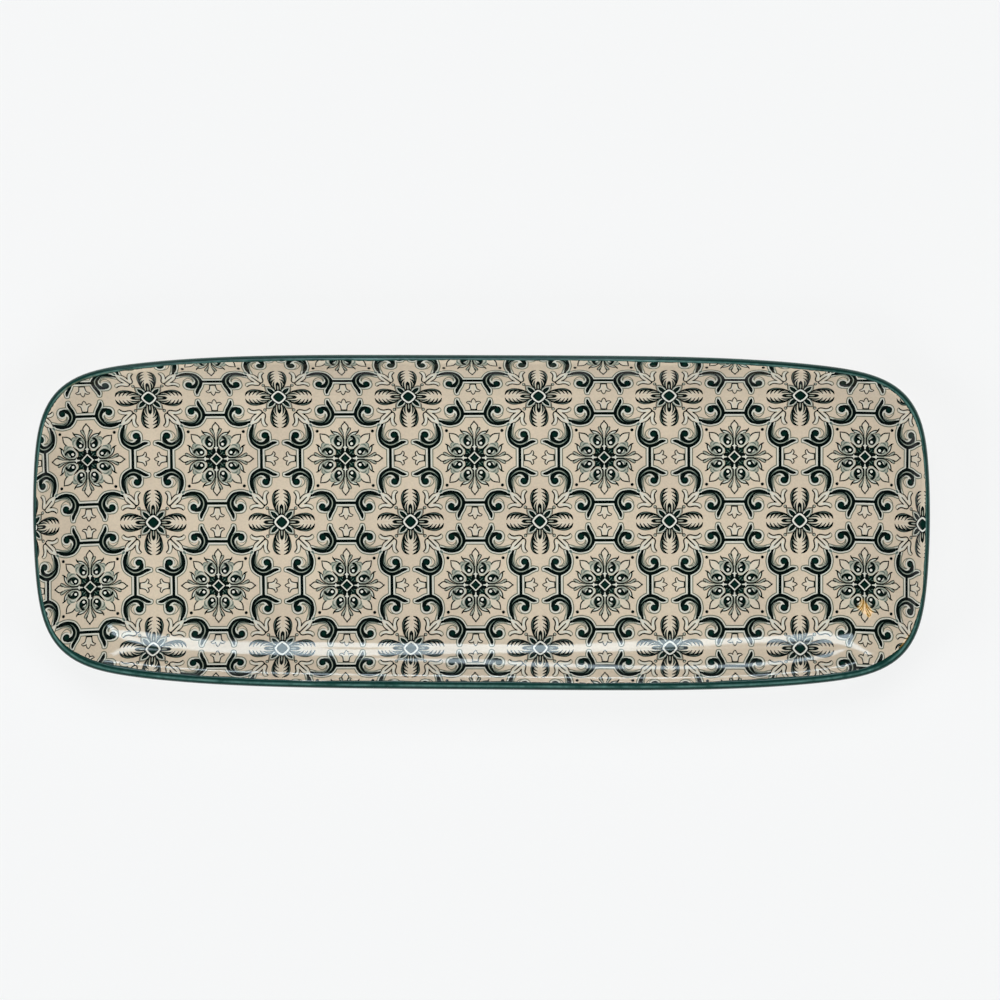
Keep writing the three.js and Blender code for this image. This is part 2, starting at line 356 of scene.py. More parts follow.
def flower_corner():
    """The dark leaf on the diagonal, in its pale square corner."""
    return [
        ("pale", blob([(0.045, 0.028), (0.066, 0.03), (0.083, 0.046), (0.092, 0.07), (0.093, 0.093),
            (0.07, 0.092), (0.046, 0.083), (0.03, 0.066), (0.028, 0.045)])),
        ("wash", stroke([(0.05, 0.024, 0.004), (0.068, 0.031, 0.006), (0.0835, 0.048, 0.006),
            (0.0905, 0.07, 0.006), (0.0915, 0.0915, 0.005)])),
        ("brown", stroke([(0.094, 0.05, 0.004), (0.099, 0.072, 0.0065), (0.0995, 0.0995, 0.007)])),
        ("ink", blob([(0.04, 0.026), (0.058, 0.036), (0.073, 0.05), (0.0825, 0.07), (0.083, 0.083),
            (0.07, 0.0825), (0.05, 0.073), (0.036, 0.058), (0.026, 0.04)])),
        ("deep", stroke([(0.048, 0.048, 0.004), (0.062, 0.062, 0.01), (0.076, 0.076, 0.003)])),
        ("brown", oval(0.1105, 0.1105, 0.0145)),
        ("mist", oval(0.112, 0.112, 0.0085)),
    ]


def flower_centre():
    return [
        ("ink", diamond(0.0655, 1.5)),
        ("white", diamond(0.0585, 1.4)),
        ("ink", diamond(0.0445, 1.3)),
        ("deep", diamond(0.033, 1.25)),
    ]


def flower():
    return axis_petal() + flower_corner() + flower_centre()


def fork():
    """The forked leaf on the diagonal between the flower and the scrolls."""
    return [
        ("cream", blob([(0.14, 0.13), (0.155, 0.109), (0.195, 0.116), (0.225, 0.105), (0.236, 0.097),
            (0.248, 0.115), (0.24, 0.133), (0.212, 0.143), (0.185, 0.147), (0.165, 0.16)])),
        ("cream", blob([(0.145, 0.14), (0.185, 0.145), (0.21, 0.165), (0.22, 0.18), (0.225, 0.225),
            (0.18, 0.22), (0.165, 0.21), (0.145, 0.185), (0.14, 0.145)])),
        ("pale", stroke([(0.152, 0.128, 0.004), (0.18, 0.13, 0.011), (0.21, 0.129, 0.013),
            (0.236, 0.115, 0.007)])),
        ("pale", stroke([(0.165, 0.148, 0.003), (0.19, 0.17, 0.008), (0.205, 0.193, 0.01),
            (0.2205, 0.2205, 0.014)])),
        ("line", stroke([(0.236, 0.097, 0.005), (0.246, 0.106, 0.006), (0.2475, 0.119, 0.007),
            (0.238, 0.133, 0.008), (0.222, 0.1405, 0.008)])),
        ("brown", stroke([(0.131, 0.135, 0.01), (0.138, 0.117, 0.0105), (0.155, 0.109, 0.0105),
            (0.176, 0.112, 0.0105), (0.197, 0.116, 0.0105), (0.218, 0.111, 0.0105), (0.232, 0.1, 0.0105),
            (0.237, 0.096, 0.006)])),
        ("brown", stroke([(0.181, 0.144, 0.009), (0.2, 0.1445, 0.007), (0.222, 0.1405, 0.006)])),
        ("brown", stroke([(0.181, 0.144, 0.009), (0.197, 0.1535, 0.0095), (0.211, 0.1665, 0.009),
            (0.22, 0.18, 0.008), (0.2245, 0.2, 0.005)])),
        ("brown", stroke([(0.135, 0.135, 0.011), (0.165, 0.165, 0.011), (0.196, 0.196, 0.008)])),
        ("ink", oval(0.132, 0.132, 0.009)),
    ]


def fleur():
    """The small lily under the scrolls' bar."""
    return [
        ("cream", shape([(0.507, 0.115), (0.48, 0.113), (0.476, 0.09), (0.472, 0.073), (0.46, 0.062),
            (0.444, 0.056), (0.452, 0.046), (0.463, 0.043), (0.482, 0.052), (0.486, 0.038), (0.493, 0.026),
            (0.5, 0.02), (0.507, 0.026)])),
        ("pale", stroke([(0.484, 0.1, 0.003), (0.482, 0.078, 0.006), (0.472, 0.058, 0.005),
            (0.458, 0.052, 0.002)])),
        ("brown", stroke([(0.479, 0.113, 0.009), (0.4755, 0.09, 0.009), (0.471, 0.073, 0.009),
            (0.46, 0.0625, 0.0085), (0.446, 0.0575, 0.006)])),
        ("brown", stroke([(0.444, 0.0565, 0.005), (0.451, 0.0465, 0.008), (0.463, 0.043, 0.009),
            (0.475, 0.0465, 0.009), (0.4835, 0.053, 0.007)])),
        ("brown", stroke([(0.482, 0.05, 0.006), (0.4855, 0.037, 0.008), (0.491, 0.027, 0.008),
            (0.5, 0.018, 0.008), (0.509, 0.027, 0.008)])),
        ("ink", stroke([(0.478, 0.1135, 0.012), (0.5, 0.115, 0.012), (0.522, 0.1135, 0.012)])),
    ]


def medallion_leaves():
    return [
        # diagonal leaf
        ("cream", blob([(0.309, 0.309), (0.3376, 0.31), (0.358, 0.3166), (0.371, 0.328), (0.395, 0.36),
            (0.4, 0.4), (0.36, 0.395), (0.328, 0.371), (0.3166, 0.358), (0.31, 0.3376)])),
        ("brown", stroke([(0.306, 0.306, 0.006), (0.322, 0.3095, 0.0095), (0.34, 0.311, 0.01),
            (0.358, 0.317, 0.01), (0.371, 0.3275, 0.0105), (0.379, 0.3385, 0.01)])),
        # axis leaf
        ("cream", blob([(0.5, 0.214), (0.486, 0.229), (0.4745, 0.244), (0.473, 0.2575), (0.48, 0.272),
            (0.4885, 0.29), (0.494, 0.32), (0.5, 0.36), (0.506, 0.32), (0.5115, 0.29), (0.52, 0.272),
            (0.527, 0.2575), (0.5255, 0.244), (0.514, 0.229)])),
        ("brown", stroke([(0.505, 0.209, 0.006), (0.497, 0.217, 0.009), (0.486, 0.229, 0.0095),
            (0.4755, 0.243, 0.0095), (0.473, 0.2575, 0.0095), (0.479, 0.27, 0.009),
            (0.4835, 0.278, 0.005)])),
        # small leaf beside it
        ("mist", blob([(0.455, 0.268), (0.46, 0.259), (0.468, 0.266), (0.479, 0.28), (0.49, 0.3),
            (0.4955, 0.335), (0.497, 0.38), (0.4895, 0.38), (0.487, 0.34), (0.477, 0.31), (0.4635, 0.29)])),
        ("brown", stroke([(0.4615, 0.257, 0.004), (0.454, 0.267, 0.0075), (0.463, 0.2885, 0.0075),
            (0.4765, 0.3065, 0.008), (0.486, 0.33, 0.009), (0.4895, 0.355, 0.01), (0.4905, 0.38, 0.011),
            (0.494, 0.395, 0.006)])),
        ("brown", stroke([(0.461, 0.257, 0.004), (0.472, 0.2655, 0.006), (0.48, 0.28, 0.006),
            (0.488, 0.295, 0.005), (0.4925, 0.315, 0.004), (0.4935, 0.335, 0.002)])),
        # feather leaf
        ("wash", blob([(0.392, 0.275), (0.4, 0.291), (0.4186, 0.291), (0.439, 0.296), (0.459, 0.308),
            (0.4727, 0.325), (0.4795, 0.345), (0.482, 0.37), (0.472, 0.35), (0.452, 0.328), (0.43, 0.3185),
            (0.412, 0.313), (0.401, 0.3)])),
        ("pale", stroke([(0.411, 0.299, 0.003), (0.425, 0.303, 0.008), (0.4415, 0.3085, 0.009),
            (0.459, 0.3205, 0.008), (0.4695, 0.338, 0.007), (0.4755, 0.356, 0.003)])),
        ("brown", stroke([(0.4, 0.291, 0.009), (0.4186, 0.2905, 0.0085), (0.439, 0.2955, 0.0085),
            (0.459, 0.3075, 0.0085), (0.4735, 0.325, 0.0085), (0.4805, 0.345, 0.007),
            (0.4835, 0.37, 0.006)])),
        ("brown", stroke([(0.39, 0.272, 0.003), (0.394, 0.282, 0.011), (0.4, 0.292, 0.013),
            (0.408, 0.304, 0.009), (0.42, 0.3155, 0.005)])),
    ]


def medallion_eye():
    """The dark drop with its light spot, and the curl beside it."""
    return [
        ("mist", blob([(0.38, 0.338), (0.383, 0.324), (0.394, 0.3175), (0.412, 0.32), (0.426, 0.328),
            (0.414, 0.34), (0.405, 0.37), (0.398, 0.39), (0.388, 0.375)])),
        ("wash", stroke([(0.3795, 0.338, 0.005), (0.383, 0.325, 0.007), (0.393, 0.3175, 0.0075),
            (0.411, 0.3195, 0.0075), (0.426, 0.327, 0.006)])),
        ("wash", stroke([(0.388, 0.378, 0.003), (0.3885, 0.36, 0.008), (0.395, 0.346, 0.009),
            (0.408, 0.336, 0.008), (0.42, 0.333, 0.003)])),
        ("seed", shape([(0.486, 0.35), (0.51, 0.35), (0.51, 0.45), (0.472, 0.432), (0.474, 0.405)])),
        ("mist", blob([(0.449, 0.312), (0.425, 0.322), (0.406, 0.341), (0.3965, 0.368), (0.41, 0.397),
            (0.43, 0.417), (0.446, 0.424), (0.464, 0.42), (0.481, 0.403), (0.4855, 0.375), (0.479, 0.343),
            (0.463, 0.32)])),
        ("pale", stroke([(0.408, 0.347, 0.002), (0.4025, 0.368, 0.005), (0.415, 0.394, 0.006),
            (0.4325, 0.413, 0.006), (0.446, 0.418, 0.007), (0.4605, 0.414, 0.006), (0.475, 0.4, 0.005),
            (0.48, 0.378, 0.002)])),
        ("seed", blob([(0.439, 0.32), (0.4265, 0.331), (0.4175, 0.346), (0.4135, 0.3655), (0.4195, 0.389),
            (0.437, 0.4065), (0.459, 0.4065), (0.474, 0.394), (0.4755, 0.376), (0.468, 0.36), (0.456, 0.35),
            (0.449, 0.342), (0.452, 0.334), (0.462, 0.332), (0.452, 0.321)])),
        ("wash", stroke([(0.44, 0.339, 0.002), (0.452, 0.3395, 0.006), (0.4635, 0.346, 0.008),
            (0.4735, 0.36, 0.006), (0.478, 0.378, 0.002)])),
        ("deep", oval(0.4275, 0.37, 0.006, 0.014)),
        ("pale", stroke([(0.439, 0.346, 0.001), (0.448, 0.35, 0.006), (0.46, 0.358, 0.006),
            (0.4675, 0.369, 0.001)])),
        ("white", oval(0.4495, 0.385, 0.0108)),
    ]


def medallion_heart():
    return [
        ("seed", stroke([(0.388, 0.388, 0.004), (0.4, 0.4, 0.01), (0.425, 0.425, 0.017)])),
        ("seed", blob([(0.41, 0.41), (0.43, 0.421), (0.447, 0.428), (0.465, 0.426), (0.482, 0.418),
            (0.49, 0.43), (0.5, 0.448), (0.5, 0.5), (0.448, 0.5), (0.43, 0.49), (0.418, 0.482),
            (0.426, 0.465), (0.428, 0.447), (0.421, 0.43)])),
        ("deep", blob([(0.432, 0.432), (0.448, 0.436), (0.462, 0.433), (0.466, 0.45), (0.45, 0.466),
            (0.433, 0.462), (0.436, 0.448)])),
        ("seed", oval(0.4795, 0.4345, 0.009, 0.0125)),
        ("wash", stroke([(0.462, 0.426, 0.003), (0.4665, 0.436, 0.005), (0.4655, 0.446, 0.003)])),
        ("wash", stroke([(0.4465, 0.4465, 0.003), (0.456, 0.456, 0.006), (0.466, 0.466, 0.003)])),
        ("seed", stroke([(0.486, 0.36, 0.004), (0.4885, 0.38, 0.009), (0.487, 0.398, 0.006)])),
        ("mist", stroke([(0.5, 0.33, 0.004), (0.5, 0.36, 0.007), (0.5, 0.395, 0.009)])),
        ("pale", shape([(0.5, 0.393), (0.5065, 0.4075), (0.5195, 0.413), (0.507, 0.42), (0.5035, 0.442),
            (0.4965, 0.442), (0.493, 0.42), (0.4805, 0.413), (0.4935, 0.4075)])),
        ("pale", shape([(0.5, 0.4495), (0.5505, 0.5), (0.5, 0.5505), (0.4495, 0.5)])),
        ("seed", shape([(0.5, 0.4625), (0.5375, 0.5), (0.5, 0.5375), (0.4625, 0.5)])),
        ("deep", shape([(0.5, 0.476), (0.524, 0.5), (0.5, 0.524), (0.476, 0.5)])),
    ]


def motif():
    """The whole drawing in the order of painting."""
    dot = [("ink", oval(0.286, 0.286, 0.013))]
    return (scroll() + flower() + fork() + fleur() + dot
            + medallion_leaves() + medallion_eye() + medallion_heart())


# ---- The print -----------------------------------------------------------------------------------

TRIANGLE = shape([(0, 0), (0.5, 0), (0.5, 0.5)])  # the eighth of a tile that the rest mirrors
LATTICE = 0.03  # the triangles' size where nothing is drawn, in tiles
SAME_PLACE = 0.004  # mirror images closer than this are one stroke on a mirror line
WELD = 2e-5  # points closer than this are one, in tiles
WELD_DECIMALS = 3  # points alike to this many decimals of a millimetre are one


def mirrored(outline):
    """The outline and its mirror images in and around the eighth."""
    images = []
    for flip_x, flip_y, swap in SYMMETRIES:
        image = (outline[:, ::-1] if swap else outline) * [flip_x, flip_y]
        for across in (0, 1):
            for up in (0, 1):
                images.append([across, up] + image * [1 - 2 * across, 1 - 2 * up])
    return images


def painted():
    """Every stroke that touches the eighth, in the order of painting."""
    shapes = []
    for ink, outline in motif():
        centres = []
        for image in mirrored(outline):
            low, high = image.min(axis=0), image.max(axis=0)
            far = low[0] > 0.5 or high[0] < 0 or low[1] > 0.5 or high[1] < 0
            if far or (image[:, 0] - image[:, 1]).max() < 0:
                continue
            centre = image.mean(axis=0)
            if any(np.abs(centre - other).max() < SAME_PLACE for other in centres):
                continue
            centres.append(centre)
            shapes.append((ink, image))
    return shapes


def inside(points, outline):
    """Which of the points an outline goes round."""
    x, y = points.T
    turns = np.zeros(len(points), dtype=int)
    for a, b in zip(outline, np.roll(outline, -1, axis=0)):
        side = (b[0] - a[0]) * (y - a[1]) - (x - a[0]) * (b[1] - a[1])
        turns += (a[1] <= y) & (b[1] > y) & (side > 0)
        turns -= (a[1] > y) & (b[1] <= y) & (side < 0)
    return turns != 0


def cut_eighth():
    """The eighth's triangles: points, corners and the ink of each."""
    shapes = painted()
    points = []
    edges = []
    for outline in [TRIANGLE] + [outline for ink, outline in shapes]:
        first = len(points)
        count = len(outline)
        points.extend(outline.tolist())
        edges.extend((first + i, first + (i + 1) % count) for i in range(count))
    rows = round(0.5 / LATTICE)
    for i in range(rows + 1):
        for j in range(i + 1):
            points.append([0.5 * i / rows, 0.5 * j / rows])
    cut = geometry.delaunay_2d_cdt([Vector(p) for p in points], edges, [], 0, WELD)
    at = np.array([tuple(v) for v in cut[0]])
    corners = np.array(cut[2])
    middle = at[corners].mean(axis=1)
    kept = (middle[:, 1] > 0) & (middle[:, 0] < 0.5) & (middle[:, 0] > middle[:, 1])
    corners, middle = corners[kept], middle[kept]
    ink = np.zeros(len(corners), dtype=int)
    for name, outline in shapes:
        ink[inside(middle, outline)] = INKS.index(name)
    return at, corners, ink


def whole_print():
    """The print laid flat over the whole tray: points in tiles, corners and inks."""
    at, corners, ink = cut_eighth()
    points, faces, inks = [], [], []
    for row in range(-TILES_ACROSS, TILES_ACROSS + 1):
        for column in range(-TILES_ALONG, TILES_ALONG):
            for flip_x, flip_y, swap in SYMMETRIES:
                image = (at[:, ::-1] if swap else at) * [flip_x, flip_y]
                turned = (flip_x * flip_y < 0) != swap
                faces.append((corners[:, ::-1] if turned else corners) + len(points) * len(at))
                points.append(image + [column + 0.5, row])
                inks.append(ink)
    return np.vstack(points), np.vstack(faces), np.concatenate(inks)


EDGE_SHRINK = 0.8  # how much of its length the sheet covers, seen from above, past the wall's top


def along_wall(distance, flat):
    """Where a sheet's point lands when the sheet follows the floor, the wall and the edge."""
    arc = np.maximum(np.abs(distance) - flat, 0)
    wall_length = INNER_WALL_RADIUS * INNER_WALL_ANGLE
    on_wall = INNER_WALL_RADIUS * np.sin(np.minimum(arc, wall_length) / INNER_WALL_RADIUS)
    beyond = np.maximum(arc - wall_length, 0) * EDGE_SHRINK
    return np.sign(distance) * (np.minimum(np.abs(distance), flat) + on_wall + beyond)


def pulled_back(x, y):
    """The points with those past the print's end moved straight back to it."""
    step = 0.05
    for turn in range(3):
        slope_x = (inset_at(x + step, y) - inset_at(x - step, y)) / (2 * step)
        slope_y = (inset_at(x, y + step) - inset_at(x, y - step)) / (2 * step)
        short = np.maximum(PRINT_END - inset_at(x, y), 0) / (slope_x**2 + slope_y**2 + 1e-9)
        x = x + slope_x * short
        y = y + slope_y * short
    return x, y


def welded(x, y, faces, inks):
    """Joins the points that neighbouring tiles share and drops the triangles that closed up."""
    keys = np.column_stack([x, y]).round(WELD_DECIMALS)
    _, first, same = np.unique(keys, axis=0, return_index=True, return_inverse=True)
    faces = same.reshape(-1)[faces]
    real = (faces[:, 0] != faces[:, 1]) & (faces[:, 1] != faces[:, 2]) & (faces[:, 2] != faces[:, 0])
    return x[first], y[first], faces[real], inks[real]


def laid_print():
    """The print on the well's surface: points, corners and inks, without what the band covers."""
    tiles, faces, inks = whole_print()
    x = tiles[:, 0] * TILE_LENGTH + PRINT_SHIFT[0]
    y = tiles[:, 1] * TILE_WIDTH + PRINT_SHIFT[1]
    cosine, sine = math.cos(PRINT_TURN), math.sin(PRINT_TURN)
    x, y = cosine * x - sine * y, sine * x + cosine * y
    x = along_wall(x, LENGTH / 2 - INNER_CENTRE_INSET)
    y = along_wall(y, WIDTH / 2 - INNER_CENTRE_INSET)
    inset = inset_at(x, y)
    kept = (inset[faces] > PRINT_END).any(axis=1)
    x, y = pulled_back(x, y)
    return welded(x, y, faces[kept], inks[kept])


def add_object(name, data):
    thing = bpy.data.objects.new(name, data)
    bpy.context.scene.collection.objects.link(thing)
    return thing


def new_mesh(name, points, faces, normals=None):
    """A smooth mesh from points in millimetres."""
    mesh = bpy.data.meshes.new(name)
    corners = [[int(corner) for corner in face] for face in faces]
    mesh.from_pydata((np.asarray(points) * MM).tolist(), [], corners)
    mesh.validate()
    mesh.shade_smooth()
    if normals is not None:
        mesh.normals_split_custom_set_from_vertices(normals.tolist())
    return add_object(name, mesh)


def finish_piece(piece, node, material):
    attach(piece, "root")
    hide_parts(node)
    piece.data.materials.append(material)


def make_print():
    x, y, faces, inks = laid_print()
    points = np.column_stack([x, y, well_height(x, y)])
    normals = well_normals(x, y)
    for index, ink in enumerate(INKS):
        mine = faces[inks == index]
        used, local = np.unique(mine, return_inverse=True)
        piece = new_mesh("print_" + ink, points[used], local.reshape(-1, 3), normals[used])
        finish_piece(piece, "printed_transfer", ink_material(ink))


# ---- Coats and body ------------------------------------------------------------------------------

# Points along a quarter of the outline, crowded towards the middle of the corner
SHORT_SIDE_STEPS = 10
CORNER_STEPS = 36
CORNER_CROWDING = 1.3
LONG_SIDE_STEPS = 24
SETTLING_TURNS = 40

# Rings up the section
INNER_WALL_RINGS = 25
LIP_RINGS = 6
BAND_RINGS = 13
OUTER_WALL_RINGS = 22
BEVEL_RINGS = 5
SHARP_EDGE = math.radians(35)
EVEN_BELOW = 2  # the unevenness fades out below this height, so that the foot stands flat


def quarter_ring(inset):
    """A quarter of the outline, drawn inset millimetres in, from the +X axis to the +Y axis."""
    size = CORNER_REACH - inset
    side = 2 * np.arange(CORNER_STEPS + 1) / CORNER_STEPS - 1
    angle = math.pi / 4 * (1 + np.sign(side) * np.abs(side) ** CORNER_CROWDING)
    cosine, sine = np.cos(angle), np.sin(angle)
    reach = size / (cosine**CORNER_POWER + sine**CORNER_POWER) ** (1 / CORNER_POWER)
    x = np.full_like(angle, LENGTH / 2)
    y = np.full_like(angle, WIDTH / 2)
    for turn in range(SETTLING_TURNS):
        x = short_side_x(y, CORNER_REACH - reach * cosine)
        y = long_side_y(x, CORNER_REACH - reach * sine)
    short_y = y[0] * np.arange(SHORT_SIDE_STEPS) / SHORT_SIDE_STEPS
    long_x = x[-1] * (1 - np.arange(1, LONG_SIDE_STEPS + 1) / LONG_SIDE_STEPS)
    return np.column_stack([
        np.concatenate([short_side_x(short_y, inset), x, long_x]),
        np.concatenate([short_y, y, long_side_y(long_x, inset)]),
    ])


def ring(inset):
    quarter = quarter_ring(inset)
    upper = np.vstack([quarter, (quarter[:-1] * [-1, 1])[::-1]])
    return np.vstack([upper, (upper[1:-1] * [1, -1])[::-1]])


# A row is the inset and the height of one ring; depth is how far it lies inside the glazed surface

def inner_wall_row(angle, depth):
    radius = INNER_WALL_RADIUS + depth
    return (INNER_CENTRE_INSET - radius * math.sin(angle), INNER_CENTRE_HEIGHT - radius * math.cos(angle))


def lip_row(angle, depth):
    radius = LIP_RADIUS - depth
    return (LIP_RADIUS + radius * math.sin(angle), LIP_HEIGHT + radius * math.cos(angle))


def outer_wall_row(angle, depth):
    radius = OUTER_WALL_RADIUS - depth
    return (OUTER_CENTRE_INSET - radius * math.sin(angle), OUTER_CENTRE_HEIGHT - radius * math.cos(angle))


def outer_wall_angle_at(inset, depth):
    return math.asin((OUTER_CENTRE_INSET - inset) / (OUTER_WALL_RADIUS - depth))


def well_rows(depth):
    wall = [inner_wall_row(angle, depth) for angle in np.linspace(0, INNER_WALL_ANGLE, INNER_WALL_RINGS)]
    return wall + [lip_row(angle, depth) for angle in np.linspace(INNER_WALL_ANGLE, 0, LIP_RINGS)[1:]]


def band_rows(depth):
    return [lip_row(angle, depth) for angle in np.linspace(0, BAND_LOWER_ANGLE, BAND_RINGS)]


def outside_rows(depth):
    foot = outer_wall_angle_at(FOOT_OUTSIDE, depth)
    angles = np.linspace(OUTER_WALL_ANGLE, foot, OUTER_WALL_RINGS)
    return [lip_row(BAND_LOWER_ANGLE, depth)] + [outer_wall_row(angle, depth) for angle in angles]


def foot_rows():
    """The bare foot, from the glaze line outside it, under its tread, to the one inside it."""
    outside = outer_wall_row(outer_wall_angle_at(FOOT_OUTSIDE, 0), 0)
    within = outer_wall_row(outer_wall_angle_at(FOOT_INSIDE, 0), 0)
    bevel = np.linspace(0, math.pi / 2, BEVEL_RINGS)
    run = FOOT_EDGE_END - FOOT_EDGE_START
    outer = [(FOOT_OUTSIDE + FOOT_EDGE_START + run * (1 - math.cos(a)),
              FOOT_EDGE_HEIGHT * (1 - math.sin(a))) for a in bevel]
    inner = [(FOOT_INSIDE + FOOT_OUTSIDE - inset, z) for inset, z in reversed(outer)]
    return [outside] + outer + inner + [within]


def recess_rows(depth):
    return [outer_wall_row(0, depth), outer_wall_row(outer_wall_angle_at(FOOT_INSIDE, depth), depth)]


def strips(columns, rings, is_loop):
    """The quads between neighbouring rings, and from the last ring to the first in a loop."""
    faces = []
    for ring_number in range(rings if is_loop else rings - 1):
        a = ring_number * columns
        b = (ring_number + 1) % rings * columns
        for column in range(columns):
            after = (column + 1) % columns
            faces.append((a + column, b + column, b + after, a + after))
    return faces


def solid_from_rows(name, rows, is_loop):
    """Joins the rings of the rows into one closed surface, as the CAD source does."""
    rings = [ring(inset) for inset, z in rows]
    columns = len(rings[0])
    points = np.vstack([np.column_stack([r, np.full(columns, z)]) for r, (inset, z) in zip(rings, rows)])
    flat_foot = np.clip(points[:, 2] / EVEN_BELOW, 0, 1)
    points[:, 2] += hand_waver(points[:, 0], points[:, 1]) * flat_foot
    faces = strips(columns, len(rows), is_loop)
    if not is_loop:
        faces.append(tuple(range(columns)))
        faces.append(tuple(range(len(points) - 1, len(points) - columns - 1, -1)))
    piece = new_mesh(name, points, faces)
    piece.data.set_sharp_from_angle(angle=SHARP_EDGE)
    return piece


def make_body():
    rows = (well_rows(COAT_THICKNESS) + band_rows(COAT_THICKNESS)[1:] + outside_rows(COAT_THICKNESS)[1:]
            + foot_rows() + recess_rows(COAT_THICKNESS)[::-1])
    finish_piece(solid_from_rows("fired_clay", rows, False), "clay_body", clay_material())
    rows = well_rows(TRANSFER_THICKNESS) + well_rows(COAT_THICKNESS)[::-1]
    finish_piece(solid_from_rows("ground_glaze", rows, False), "face_glaze",
                 ink_material("ground"))
    pale_glaze = pale_glaze_material()
    rows = outside_rows(0) + outside_rows(COAT_THICKNESS)[::-1]
    finish_piece(solid_from_rows("outside_glaze", rows, True), "underside_glaze", pale_glaze)
    rows = recess_rows(COAT_THICKNESS) + recess_rows(0)[::-1]
    finish_piece(solid_from_rows("foot_well_glaze", rows, False), "recess_glaze", pale_glaze)


# The green band: how far in from the outline its brushed edge runs
BAND_EDGE_FAR = 3.0
BAND_EDGE_NEAR = 1.75
BAND_EDGE_SIDES = 1.55
BAND_EDGE_CORNER_EXTRA = 0.45
BAND_WAVER = ((0.14, 7, 0.5), (0.10, 17, 2), (0.07, 41, 0))  # reach, waves round the tray, phase
BAND_STEPS = 20
BAND_SHARP_EDGE = math.radians(50)
INWARD_REACH = 4


def band_edge(outermost):
    """How far in from the outline the brushed edge runs at each point of it."""
    walk = np.concatenate([[0], np.cumsum(np.linalg.norm(np.diff(outermost, axis=0), axis=1))])
    turn = 2 * math.pi * walk / (walk[-1] + np.linalg.norm(outermost[0] - outermost[-1]))
    waver = sum(reach * np.sin(waves * turn + phase) for reach, waves, phase in BAND_WAVER)
    facing = outermost[:, 1] / WIDTH * 2
    corner = np.abs(outermost[:, 0] * outermost[:, 1]) / (LENGTH * WIDTH / 4)
    edge = BAND_EDGE_SIDES + (BAND_EDGE_FAR - BAND_EDGE_SIDES) * np.clip(-facing, 0, 1) ** 2
    edge = edge + (BAND_EDGE_NEAR - BAND_EDGE_SIDES) * np.clip(facing, 0, 1) ** 2
    return edge + BAND_EDGE_CORNER_EXTRA * np.clip(corner * 1.6 - 0.6, 0, 1) + waver


def band_radius(run, left):
    """The glaze's radius, run past its inner edge and left before its lower one: it swells beside
    each edge and thins out at it."""
    swell = 0.03 * np.exp(-((run - 0.5) / 0.3) ** 2) + 0.05 * np.exp(-((left - 0.5) / 0.35) ** 2)
    thin = 0.12 * np.exp(-((run / 0.16) ** 2)) + 0.15 * np.exp(-((left / 0.2) ** 2))
    return LIP_RADIUS + swell - thin


def add_layer(piece, name, values):
    layer = piece.data.attributes.new(name, "FLOAT", "POINT")
    layer.data.foreach_set("value", np.concatenate(values).astype(np.float32))


def lip_points(outermost, inward, angle, radius):
    """One ring round the edge, at an angle and a radius of their own for each point."""
    inset = LIP_RADIUS + radius * np.sin(angle)
    flat = outermost + inward * inset[:, None]
    return np.column_stack([flat, LIP_HEIGHT + radius * np.cos(angle)])


def make_band():
    """The green glaze over the edge, with a brushed, wavering inner line."""
    outermost = ring(0)
    inward = (ring(INWARD_REACH) - outermost) / INWARD_REACH
    columns = len(outermost)
    start = np.arcsin(np.clip(band_edge(outermost) / LIP_RADIUS - 1, -1, 1))
    points, across, tilt = [], [], []
    share = np.linspace(0, 1, BAND_STEPS)
    for s in share:
        angle = start + (BAND_LOWER_ANGLE - start) * s
        run = (start - angle) * LIP_RADIUS
        left = (angle - BAND_LOWER_ANGLE) * LIP_RADIUS
        points.append(lip_points(outermost, inward, angle, band_radius(run, left)))
        across.append(run)
        tilt.append(0.5 - angle / math.pi)
    for s in share[::-1]:
        angle = start + (BAND_LOWER_ANGLE - start) * s
        points.append(lip_points(outermost, inward, angle, LIP_RADIUS - COAT_THICKNESS))
        across.append(np.zeros(columns))
        tilt.append(np.ones(columns))
    faces = strips(columns, len(points), True)
    points = np.vstack(points)
    points[:, 2] += hand_waver(points[:, 0], points[:, 1])
    piece = new_mesh("green_edge", points, faces)
    piece.data.set_sharp_from_angle(angle=BAND_SHARP_EDGE)
    add_layer(piece, "across", across)
    add_layer(piece, "tilt", tilt)
    finish_piece(piece, "rim_band", green_material())


# ---- Materials -----------------------------------------------------------------------------------

def srgb(red, green, blue):
    """A colour as the eye sees it, in linear light."""
    def linear(value):
        value /= 255
        return value / 12.92 if value <= 0.04045 else ((value + 0.055) / 1.055) ** 2.4
    return (linear(red), linear(green), linear(blue), 1.0)


def grey(level):
    return (level, level, level, 1)


def new_material(name, roughness):
    material = bpy.data.materials.new(name)
    material.use_nodes = True
    shader = material.node_tree.nodes["Principled BSDF"]
    shader.inputs["Roughness"].default_value = roughness
    shader.inputs["IOR"].default_value = 1.5
    return material, material.node_tree, shader


def noise(tree, scale, detail=3.0, roughness=0.5):
    where = tree.nodes.new("ShaderNodeTexCoord")
    node = tree.nodes.new("ShaderNodeTexNoise")
    node.inputs["Scale"].default_value = scale
    node.inputs["Detail"].default_value = detail
    node.inputs["Roughness"].default_value = roughness
    tree.links.new(where.outputs["Object"], node.inputs["Vector"])
    return node.outputs["Fac"]


def ramp(tree, fac, stops):
    node = tree.nodes.new("ShaderNodeValToRGB")
    elements = node.color_ramp.elements
    while len(elements) < len(stops):
        elements.new(0.5)
    for element, (place, colour) in zip(elements, stops):
        element.position = place
        element.color = colour
    tree.links.new(fac, node.inputs["Fac"])
    return node.outputs["Color"]


